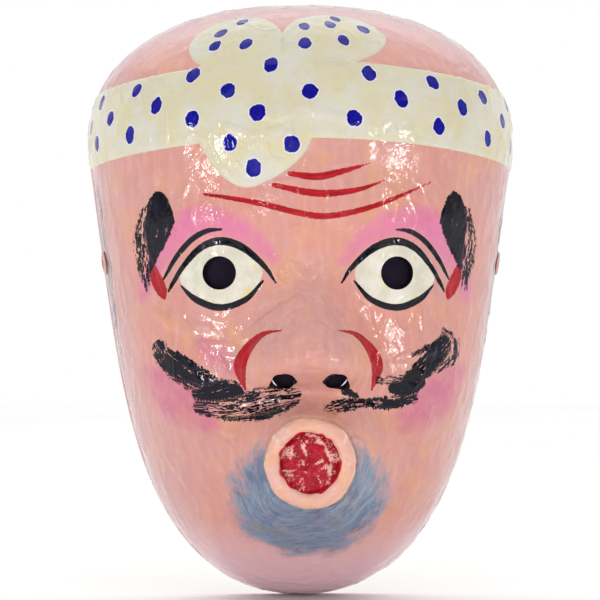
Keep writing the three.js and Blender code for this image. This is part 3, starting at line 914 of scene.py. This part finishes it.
def cord_place(side):
    """The point on the side wall where a cord hole is, and the wall's outward direction there."""
    bearing = np.array([CORD_BEARING if side > 0 else math.pi - CORD_BEARING])
    here = wall_points(bearing, CORD_DEPTH, 0)[0]
    along = wall_points(bearing, CORD_DEPTH + 4, 0)[0] - here
    around = wall_points(bearing + 0.05, CORD_DEPTH, 0)[0] - here
    normal = np.cross(along, around)
    normal /= np.linalg.norm(normal)
    return here, normal if normal[0] * side > 0 else -normal


def hole_cutters():
    forward = (0, -1, 0)
    cutters = []
    for side in (-1, 1):
        eye = (side * EYE_X, -100, CROWN - EYE_BELOW)
        cutters.append(tube_mesh("eye", eye, forward, PUPIL_RADIUS, PUPIL_RADIUS, 160))
        nostril = (side * NOSTRIL_X, -100, CROWN - NOSTRIL_BELOW)
        cutters.append(tube_mesh("nostril", nostril, forward, *NOSTRIL_RADII, 160, side * NOSTRIL_TURN))
        here, normal = cord_place(side)
        cutters.append(tube_mesh("cord", here, normal, CORD_HOLE_RADIUS, CORD_HOLE_RADIUS, 24))
    cutters.append(tube_mesh("seat", SPOUT_SEAT + SPOUT_AXIS * 15, SPOUT_AXIS, SEAT_RADIUS, SEAT_RADIUS, 30))
    cutters.append(tube_mesh("bore", SPOUT_SEAT, SPOUT_AXIS, BORE_RADIUS, BORE_RADIUS, 60))
    return cutters


def shell_side(points):
    """A grid's points and outward directions in rows of three, and how free they are of the rim's grip."""
    outward = grid_normals(points, wrapped=True).reshape(-1, 3)
    flat = points.reshape(-1, 3)
    outward[np.hypot(flat[:, 0], flat[:, 2] - HUB) < 0.05] = (0, -1, 0)
    return flat, outward, smoothstep(-flat[:, 1], 1.0, 6.0)[:, None]


def painted_shell():
    spokes = 400
    bearing = np.linspace(0, 2 * math.pi, spokes, endpoint=False)
    outer = shell_rows(bearing, rings(138, 58), 0.0)
    inner = shell_rows(bearing, rings(26, 14), THICKNESS)
    flat, outward, free = shell_side(outer)
    painted = smoothstep(eye_white(flat[:, 0], CROWN - flat[:, 2]), -0.5, 0.4) * 0.18
    flat += outward * ((moulded(flat) + painted)[:, None] * free)
    back, outward, free = shell_side(inner)
    back -= outward * (0.16 * lumps(back, 6, 12)[:, None] * free)
    shell = two_grids("painted_shell", outer, inner)
    for material in (painted_skin(), raw_pulp(), cut_edge()):
        shell.data.materials.append(material)
    cut_holes(shell, hole_cutters(), 2)
    shell.data.shade_smooth()
    sharpen(shell, 42)
    paint_face(shell)
    place(shell, "face_shell", "painted_pulp")


# ---- the headband
KNOT = [(-37.5, 27.5), (-18, 26.6), (0.4, 27.5), (2.4, 42), (1.2, 56), (-3, 63.5), (-11.5, 70), (-21.8, 74),
        (-29.6, 71), (-35.6, 64), (-39.8, 55.5), (-40.4, 42)]
EAR_LEFT = [(-39, 29), (-43, 21.5), (-37.5, 13.8), (-26, 9.3), (-15, 10.2), (-9, 15.8), (-8.6, 23),
            (-8.6, 30), (-24, 30.4)]
EAR_RIGHT = [(-9.0, 30), (-9.0, 23), (-8.6, 15.6), (-3, 10.2), (8, 8), (20, 10), (29, 17.5), (26, 24),
             (16, 28.6), (4, 30.4)]
CLOTH_LIFT = 0.75
CREASES = [
    [(-33, 31.5, 1.0), (-22, 29.8, 1.4), (-12, 28.8, 1.2), (-4, 29.8, 0.8)],
    [(-21, 46, 0.8), (-12, 48.5, 1.2), (-3, 46.4, 1.4), (7, 47.8, 1.0), (16, 50.5, 0.5)],
    [(-4, 34, 0.8), (3, 31.6, 1.2), (12, 30.6, 0.8)],
    [(-29, 52, 0.7), (-20, 55.5, 1.1), (-10, 53.6, 0.9)],
]
DOTS = [(-41.4, 32.6), (-41.8, 48.9), (-28.8, 38.8), (-18.3, 47.2), (-28.3, 57.9), (-19.9, 67), (-6.2, 58.4),
        (0.4, 39.4), (-13.4, 29.4), (-22.3, 21.2), (-33.4, 21.6), (-31.3, 16.4), (-23.4, 11.6), (-1, 21),
        (-0.8, 13.8),
        (8.6, 13), (10.9, 10.3), (13.1, 19.6), (20.9, 14.8), (16.2, 49), (21.8, 32.4)]
# where the dots of each side of the band start, and their spacing
FIRST_DOTS = {-1: (54.6, 13.2), 1: (33.6, 14.3)}


def closed_line(points, steps=10):
    p = np.array(points, float)
    t = np.linspace(0, 1, steps, endpoint=False)[:, None]
    return catmull_rom(*(np.roll(p, shift, 0)[:, None, :] for shift in (1, 0, -1, -2)), t).reshape(-1, 2)


def inside_distance(x, below, outline):
    """How far inside a closed outline each point is, in mm; negative outside."""
    line = closed_line(outline)
    ends = np.roll(line, -1, 0)
    nearest = np.full(x.shape, 1e9)
    inside = np.zeros(x.shape, bool)
    for (ax, az), (bx, bz) in zip(line, ends):
        dx, dz = bx - ax, bz - az
        t = np.clip(((x - ax) * dx + (below - az) * dz) / (dx * dx + dz * dz + 1e-12), 0, 1)
        nearest = np.minimum(nearest, np.hypot(x - ax - t * dx, below - az - t * dz))
        crosses = (az > below) != (bz > below)
        inside ^= crosses & (x < ax + (below - az) * dx / (dz if abs(dz) > 1e-9 else 1e-9))
    return np.where(inside, nearest, -nearest)


def band_inside(x, below):
    share = np.abs(x) / half_width(CROWN - below)
    across = np.abs(below - BAND_BELOW - BAND_DROP * share ** 2)
    return BAND_HALF - across


def cloth_height(x, below):
    """The height of the painted cloth above the skin, in mm."""
    knot = inside_distance(x, below, KNOT)
    ears = np.maximum(inside_distance(x, below, EAR_LEFT), inside_distance(x, below, EAR_RIGHT))
    inside = np.maximum(np.maximum(knot, ears), band_inside(x, below))
    height = CLOTH_LIFT * (1 - np.exp(-np.maximum(inside, 0) / 0.5)) - 0.18
    height = height + 2.1 * np.clip(knot / 17, 0, 1) ** 0.8 * smoothstep(below, 36, 60)
    height = height + 1.0 * np.clip(ears / 9, 0, 1) ** 0.8 * (1 - smoothstep(below, 22, 30))
    for crease in CREASES:
        ink, _, _ = stroke(x, below, crease)
        height = height + 0.42 * smoothstep(ink, -2.2, 0.5)
    return height, knot, ears


def band_arc_table():
    """Length along the band's course from its middle, against the share of the half-width."""
    share = np.sin(np.linspace(0, math.pi / 2, 400)) ** (2 / SECTION_POWER)
    z = np.full_like(share, CROWN - BAND_BELOW - 3)
    points = np.stack([share * half_width(z), plain_depth(share * half_width(z), z)], 1)
    return share, np.concatenate([[0], np.cumsum(np.linalg.norm(np.diff(points, axis=0), axis=1))])


def crown_arc_table():
    """Length down the middle of the face, against the height below the crown."""
    below = np.linspace(0.5, 90, 400)
    depth = plain_depth(np.zeros_like(below), CROWN - below)
    step = np.hypot(np.diff(below), np.diff(depth))
    return below, np.concatenate([[0], np.cumsum(step)])


ARC_SHARE, ARC_LENGTH = band_arc_table()
CROWN_BELOW, CROWN_LENGTH = crown_arc_table()


def on_cloth(x, below):
    """Sideways and downwards lengths over the surface, where the dots are round."""
    share = np.clip(np.abs(x) / half_width(CROWN - below), 0, 1)
    sideways = np.sign(x) * np.interp(share, ARC_SHARE, ARC_LENGTH)
    return sideways, np.interp(below - BAND_DROP * share ** 2, CROWN_BELOW, CROWN_LENGTH)


def all_dots():
    """(sideways, down, size sideways, size down) of every dot, over the surface."""
    chance = random.Random(DOT_SEED)
    places = []
    for x, below in DOTS:
        sideways, down = on_cloth(np.array([float(x)]), np.array([float(below)]))
        places.append((sideways[0], down[0]))
    for side, (start, spacing) in FIRST_DOTS.items():
        first, _ = on_cloth(np.array([float(side * start)]), np.array([44.0]))
        for column in range(6):
            sideways = first[0] + side * column * spacing
            for across in ((1.5,) if column % 2 == 0 else (9.0, -7.0)):
                _, down = on_cloth(np.zeros(1), np.array([BAND_BELOW - across]))
                places.append((sideways + chance.uniform(-1.2, 1.2), down[0] + chance.uniform(-1.0, 1.0)))
    return [(a, b, chance.uniform(2.5, 3.0), chance.uniform(2.8, 3.5)) for a, b in places]


ALL_DOTS = all_dots()


def dot_field(x, below):
    sideways, down = on_cloth(x, below)
    field = np.full(x.shape, NOTHING)
    for centre_a, centre_b, size_a, size_b in ALL_DOTS:
        away = np.hypot((sideways - centre_a) / size_a, (down - centre_b) / size_b)
        field = np.maximum(field, (1 - away) * (size_a + size_b) / 2)
    return field


def cloth_piece(name, node, x, below, base, normals, lower, wrapped, material):
    """A closed layer of the painted cloth over a grid of skin points; lower is how far it is tucked in."""
    flat_x, flat_below = x.ravel(), below.ravel()
    height, knot, ears = cloth_height(flat_x, flat_below)
    tucked = lower(knot, ears)
    skin = moulded(base.reshape(-1, 3)).reshape(x.shape)
    top = skin + height.reshape(x.shape) + tucked.reshape(x.shape)
    under = np.minimum(skin - 0.35, top - 0.05)
    front = base + normals * top[..., None]
    back = base + normals * under[..., None]
    obj = layer_object(name, front, back, wrapped)
    points = coordinates(obj)
    put_field(obj, "dot", dot_field(points[:, 0], CROWN - points[:, 2]))
    sharpen(obj, 50)
    place(obj, node, "headband_paint", material)


def band_side(side, material):
    steps, rows = 230, 40
    across = np.linspace(-BAND_HALF, BAND_HALF, rows + 1)
    near = 33.0 if side < 0 else 0.0
    z_near = CROWN - BAND_BELOW + across
    near_turn = np.arcsin(np.clip(near / half_width(z_near), 0, 1) ** (SECTION_POWER / 2))
    far_turn = math.radians(86.5)
    turn = near_turn[None, :] + (far_turn - near_turn)[None, :] * np.linspace(0, 1, steps + 1)[:, None]
    share = np.sin(turn) ** (2 / SECTION_POWER)
    z = CROWN - BAND_BELOW - BAND_DROP * share ** 2 + across[None, :]
    x = side * share * half_width(z)
    base = face_points(x, z)
    side_name = "left" if side < 0 else "right"

    def lower(knot, ears):
        return -0.4 * smoothstep(np.maximum(knot, ears), 0.0, 1.5)

    cloth_piece("cloth_band_" + side_name, "headband_" + side_name, x, CROWN - z, base, grid_normals(base),
                lower, False, material)


def cloth_flap(name, node, outline, material, raise_by):
    line = closed_line(outline, 18)
    middle = line.mean(0)
    reach = np.linspace(0, 1, 46)
    x = middle[0] + (line[:, :1] - middle[0]) * reach[None, :]
    below = middle[1] + (line[:, 1:] - middle[1]) * reach[None, :]
    z = CROWN - below

    def lower(knot, ears):
        over = np.full(knot.shape, raise_by)
        return over if node == "headband_knot" else over - 0.4 * smoothstep(knot, 0.0, 1.5)

    cloth_piece(name, node, x, below, face_points(x, z), face_normals(x, z), lower, True, material)


def headband():
    material = banded_cloth()
    for side in (-1, 1):
        band_side(side, material)
    cloth_flap("cloth_knot", "headband_knot", KNOT, material, 0.06)
    cloth_flap("cloth_ear_left", "knot_ear_left", EAR_LEFT, material, 0.03)
    cloth_flap("cloth_ear_right", "knot_ear_right", EAR_RIGHT, material, 0.045)


# ---- the mouth
def axes_of(outward):
    """The axes of a turned piece that points outward: sideways, up and outwards."""
    sideways = np.cross(outward, (0.0, 0.0, 1.0))
    sideways /= np.linalg.norm(sideways)
    return np.stack([sideways, np.cross(sideways, outward), outward])


SPOUT_AXES = axes_of(SPOUT_AXIS)


def turned(name, profile, segments, origin, axes, wobble=0.0, seed=0, closed=True):
    """A turned piece on an axis: profile is (radius, height), closed on itself or on the axis."""
    profile = np.array(profile, float)
    turn = np.linspace(0, 2 * math.pi, segments, endpoint=False)
    around = np.stack([np.cos(turn), np.sin(turn), 0 * turn], 1)
    uneven = 1 + wobble * lumps(around * 10, 9, seed)[:, None]
    radius = profile[None, :, 0] * uneven
    local = np.stack([radius * np.cos(turn)[:, None], radius * np.sin(turn)[:, None],
                      np.broadcast_to(profile[None, :, 1], radius.shape)], axis=-1)
    points = origin + local @ axes
    rows, columns = points.shape[:2]
    last = columns if closed else columns - 1
    faces = [(i * columns + j, (i + 1) % rows * columns + j, (i + 1) % rows * columns + (j + 1) % columns,
              i * columns + (j + 1) % columns) for i in range(rows) for j in range(last)]
    obj = mesh_object(name, points, faces)
    tidy_mesh(obj)
    return obj


def lip_ring():
    profile = closed_line([(10.3, -0.2), (13.2, -0.3), (15.9, -0.3), (16.2, 0.8), (15.8, 2.6), (14.6, 4.3),
                           (13.1, 5.0), (11.7, 4.7), (10.7, 3.6), (10.3, 1.8)], 7)
    ring = turned("lip_ring", profile, 220, SPOUT_SEAT, SPOUT_AXES, 0.012, 5)
    points = coordinates(ring)
    push_out(ring, 0.6 * lumps(points, 6.5, 31) + 0.22 * lumps(points, 6.5 / 3.5, 32))
    local = (coordinates(ring) - SPOUT_SEAT) @ SPOUT_AXES.T
    put_field(ring, "red", 10.95 - np.hypot(local[:, 0], local[:, 1]) + 0.9 * lumps(local, 3.0, 4))
    place(ring, "mouth_ring", "lip_paint", lip_paint())


def red_disc():
    reach = np.linspace(0, 1, 44)
    crown = [(10.6 * r, 1.7 + 1.6 * (1 - r ** 2.4)) for r in reach]
    profile = [*crown, (10.7, 0.6), (11.0, -0.4), (10.8, -1.7), (7, -1.8), (0, -1.8)]
    disc = turned("red_disc", profile, 150, SPOUT_SEAT, SPOUT_AXES, 0.0, 0, closed=False)
    points = coordinates(disc)
    local = (points - SPOUT_SEAT) @ SPOUT_AXES.T
    middle = 1 - smoothstep(np.hypot(local[:, 0], local[:, 1]), 8.5, 10.9)
    wrinkled = 1.3 * lumps(points, 4.6, 41) + 0.8 * np.abs(lumps(points, 2.9, 43))
    wrinkled += 0.12 * lumps(points, 1.3, 44)
    top = smoothstep(local[:, 2], 1.0, 1.6)
    push_out(disc, wrinkled * top * (0.25 + 0.75 * middle))
    place(disc, "mouth_disc", "red_paint", red_paint())


# ---- paper, shade gauze and eyelets
SPOKE_COUNT = 60
RING_COUNT = 26


def ring_share(ring):
    """Where each of the CAD's rings lies between the hub and the rim."""
    turn = math.pi / 2 * (1 - (1 - np.asarray(ring, float) / RING_COUNT) ** 1.25)
    return np.cos(turn) ** (2 / SECTION_POWER)


def cell_points(spoke, ring, inset):
    """Shell points at fractional spoke and ring numbers, on a surface that far inside the face."""
    bearing = np.asarray(spoke, float) * 2 * math.pi / SPOKE_COUNT
    reach = reach_at_depth(bearing, 0.0, inset) * ring_share(ring)
    return face_points(reach * np.cos(bearing), HUB + reach * np.sin(bearing), inset)


def inner_grid(cells, steps, torn, seed):
    """Spoke and ring numbers of a sheet's grid, with its borders wandering by torn cells."""
    (spoke_from, spoke_to), (ring_from, ring_to) = cells
    u, v = np.meshgrid(np.linspace(0, 1, steps[0]), np.linspace(0, 1, steps[1]), indexing="ij")

    def spread(start, end, share, across, shift):
        spots = np.stack([across.ravel() * 9, np.full(across.size, shift), 0 * across.ravel()], 1)
        wander = (lumps(spots, 1, seed) + 0.5 * lumps(spots * 4, 1, seed + 2)).reshape(across.shape)
        rounded = (share - 0.5) * (1 - 0.06 * (2 * across - 1) ** 4) + 0.5
        return start + (end - start) * rounded + torn * (1 - 2 * share) * wander

    return spread(spoke_from, spoke_to, u, v, 1.0), spread(ring_from, ring_to, v, u, 5.0), u, v


def pasted_sheet(name, cells, steps, torn, seed):
    """A torn sheet pasted inside the shell, from just inside its wall to 3 mm under the face."""
    spoke, ring, u, v = inner_grid(cells, steps, torn, seed)
    near, far = cell_points(spoke, ring, 2.35), cell_points(spoke, ring, 3.0)
    thin = np.minimum(np.minimum(u, 1 - u), np.minimum(v, 1 - v))
    full = 0.35 + 0.65 * smoothstep(thin, 0.0, 0.06)
    far = near + (far - near) * full[..., None]
    lift = 0.12 * lumps(far.reshape(-1, 3), 5, seed + 4).reshape(u.shape) * full
    return layer_object(name, near, far - grid_normals(far) * lift[..., None])


def linings():
    paper = raw_pulp("lining_washi", (214, 202, 174))
    sheets = {
        "lining_crown": ((8, 22), (2, 16), (120, 100)),
        "lining_left_cheek": ((30, 37), (2, 11), (70, 80)),
        "lining_right_cheek": ((53, 60), (2, 11), (70, 80)),
        "lining_chin": ((40, 50), (2, 7), (90, 60)),
    }
    for number, (node, (spokes, ring_range, steps)) in enumerate(sheets.items()):
        sheet = pasted_sheet(node + "_sheet", (spokes, ring_range), steps, 0.22, 50 + 7 * number)
        place(sheet, node, "lining_paper", paper)


def cord_fittings():
    paper = raw_pulp("lining_washi", (206, 190, 158))
    brass = old_brass()
    for side, name, spokes in ((-1, "left", (26, 29)), (1, "right", (1, 4))):
        node = "cord_patch_" + name
        patch = pasted_sheet(node + "_sheet", (spokes, (1, 3)), (60, 40), 0.06, 90 + side)
        here, normal = cord_place(side)
        place(patch, node, "lining_paper", paper)
        cut_holes(patch, [tube_mesh("cord", here, normal, 2.75, 2.75, 24)], 0)
        patch.data.shade_smooth()
        sharpen(patch, 50)
        wall = 3.5
        rolled = [(2.0, 0.75), (2.0, -wall + 0.2), (2.15, -wall - 0.55), (2.8, -wall - 0.9),
                  (3.6, -wall - 0.75), (4.0, -wall - 0.25), (3.7, -wall + 0.05), (2.9, -wall), (2.5, -wall + 0.3), (2.5, -0.3),
                  (2.8, 0.0), (4.1, 0.02), (4.5, 0.22), (4.35, 0.62), (3.6, 0.98), (2.7, 1.08), (2.15, 1.0)]
        axes = axes_of(normal)
        eyelet = turned("brass_eyelet_" + name, closed_line(rolled, 4), 72, here, axes, 0.004, 60 + side)
        local = (coordinates(eyelet) - here) @ axes.T
        bore = smoothstep(np.hypot(local[:, 0], local[:, 1]), 2.2, 3.4)
        put_field(eyelet, "painted", bore * smoothstep(local[:, 2], -0.4, 0.2))
        place(eyelet, "cord_eyelet_" + name, "eyelet_brass", brass)


# the black gauze behind the eye and nostril holes is painted shade: a dark sheet standing in for the dark
# inside seen through them
def shade_gauzes():
    material = shade_gauze_weave()
    cells = {
        "eye_gauze_right": ((2, 7), (15, 20)),
        "eye_gauze_left": ((23, 28), (15, 20)),
        "nostril_gauze": ((39, 51), (20, 24)),
    }
    for node, (spokes, ring_range) in cells.items():
        u, v = np.meshgrid(np.linspace(*spokes, 60), np.linspace(*ring_range, 60), indexing="ij")
        near, far = cell_points(u, v, 2.7), cell_points(u, v, 2.95)
        cloth = layer_object(node + "_cloth", near, far)
        place(cloth, node, "black_gauze", material)


def edge_strip(name, node, spokes, paper, seed):
    """The paper folded over the cut rim: a short leg outside, and a longer torn one inside."""
    bearing = np.radians(np.linspace(spokes[0] * 6 + 0.1, spokes[1] * 6 - 0.1, (spokes[1] - spokes[0]) * 9))
    # in front of the back, inside the face, and how deep the strip's own back is tucked in
    path = [(4.3, -0.06, 0.25), (3.6, -0.42, 0.1), (2.4, -0.66, 0.0), (1.2, -0.78, -0.1), (0.45, -0.72, 0.0),
            (0.1, -0.4, 0.1), (0.0, 0.2, 0.6), (0.0, 1.2, 1.2), (0.0, 2.3, 1.8), (0.12, 2.9, 2.3),
            (0.5, 3.15, 2.5), (1.6, 3.2, 2.6), (3.4, 3.15, 2.6), (5.4, 3.05, 2.6), (6.9, 2.8, 2.6)]
    wave = np.stack([np.cos(bearing) * 60, np.sin(bearing) * 60, 0 * bearing], 1)
    ragged = 1.3 * lumps(wave, 6, seed) + 0.7 * lumps(wave, 2.2, seed + 1)
    wavy = 0.35 * lumps(wave, 9, seed + 2)
    over, under = [], []
    for number, (depth, inset, tucked) in enumerate(path):
        inner_leg = number / (len(path) - 1)
        shifted = depth + (ragged * smoothstep(np.array(inner_leg), 0.7, 1.0) if inner_leg > 0.7 else 0)
        shifted = shifted + (wavy if number == 0 else 0)
        over.append(wall_points(bearing, shifted, inset + 0.06 * lumps(wave, 4, seed + number + 5)))
        over_the_edge = inset > -0.5 and 4 < number < 10
        under.append(wall_points(bearing, shifted + (0.9 if over_the_edge else 0), tucked))
    strip = layer_object(name, np.stack(over, 1), np.stack(under, 1))
    points = coordinates(strip)
    angle = np.arctan2(points[:, 2] - HUB, points[:, 0])
    outside = reach_at_depth(angle, np.maximum(0.0, -points[:, 1] - RIM_SETBACK), 0.0)
    away = outside - np.hypot(points[:, 0], points[:, 2] - HUB)
    put_field(strip, "inward", away / 3)
    place(strip, node, "edge_paper", paper)


def edge_strips():
    paper = edge_paper()
    strips = {"crown": (7, 23), "left": (23, 38), "chin": (38, 52), "right": (52, 67)}
    for number, (place_name, spokes) in enumerate(strips.items()):
        edge_strip("edge_strip_" + place_name, "rim_binding_" + place_name, spokes, paper, 120 + 9 * number)


painted_shell()
headband()
lip_ring()
red_disc()
edge_strips()
linings()
cord_fittings()
shade_gauzes()


# ---- studio
def studio_floor():
    low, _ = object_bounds()
    bm = bmesh.new()
    bmesh.ops.create_grid(bm, x_segments=1, y_segments=1, size=4.0)
    floor = from_bmesh("floor", bm)
    floor.location = (0, -2.4, low.z)
    s = Paint("pale_floor", roughness=0.9)
    s.set(base_color=s.mix(s.step(s.lumps(400, 2), 0.3, 0.7), rgb(255, 255, 255), rgb(252, 252, 252)))
    floor.data.materials.append(s.material)


def aim(obj, location, target):
    obj.location = location
    obj.rotation_mode = "QUATERNION"
    obj.rotation_quaternion = (Vector(target) - Vector(location)).to_track_quat("-Z", "Y")


def soft_light(name, location, target, size, watts):
    data = bpy.data.lights.new(name, "AREA")
    data.shape = "RECTANGLE"
    data.size, data.size_y = size
    data.energy = watts
    aim(add_object(name, data), location, target)


def studio():
    world = bpy.data.worlds.new("white_studio")
    bpy.context.scene.world = world
    world.use_nodes = True
    # the room is white behind the mask and dim in front of it
    tree = world.node_tree
    direction = tree.nodes.new("ShaderNodeTexCoord").outputs["Generated"]
    split = tree.nodes.new("ShaderNodeSeparateXYZ")
    brightness = tree.nodes.new("ShaderNodeMapRange")
    brightness.interpolation_type = "SMOOTHSTEP"
    for name, value in (("From Min", -0.6), ("From Max", 0.7), ("To Min", 0.25), ("To Max", 1.0)):
        brightness.inputs[name].default_value = value
    tree.links.new(direction, split.inputs[0])
    tree.links.new(split.outputs["Y"], brightness.inputs["Value"])
    tree.links.new(brightness.outputs["Result"], tree.nodes["Background"].inputs["Strength"])
    tree.nodes["Background"].inputs["Color"].default_value = (1.0, 1.0, 1.0, 1.0)
    middle = (0, 0, -0.114)
    lamp_size, lamp_watts = (0.05, 0.19), 2.8
    soft_light("left_lamp", (-0.74, -0.72, -0.06), middle, lamp_size, lamp_watts)
    soft_light("right_lamp", (0.68, -0.78, -0.04), middle, lamp_size, lamp_watts)
    soft_light("front_lamp", (-0.22, -1.0, -0.02), middle, (0.05, 0.09), 0.6)
    soft_light("ceiling_lamp", (0, 0.8, 2.2), (0, 0.8, 0), (4.5, 4.5), 50)
    bpy.context.scene.view_settings.view_transform = "Standard"


def camera():
    """The photograph's view: a long lens, level with the middle and a little to the left."""
    data = bpy.data.cameras.new("camera")
    data.sensor_width = 36
    data.lens = 138
    cam = add_object("camera", data)
    low, high = cad_box
    middle_height = (low.z + high.z) / 2
    aim(cam, (-0.036, -0.9, middle_height), (0, 0, middle_height))
    bpy.context.scene.camera = cam


studio_floor()
studio()
camera()
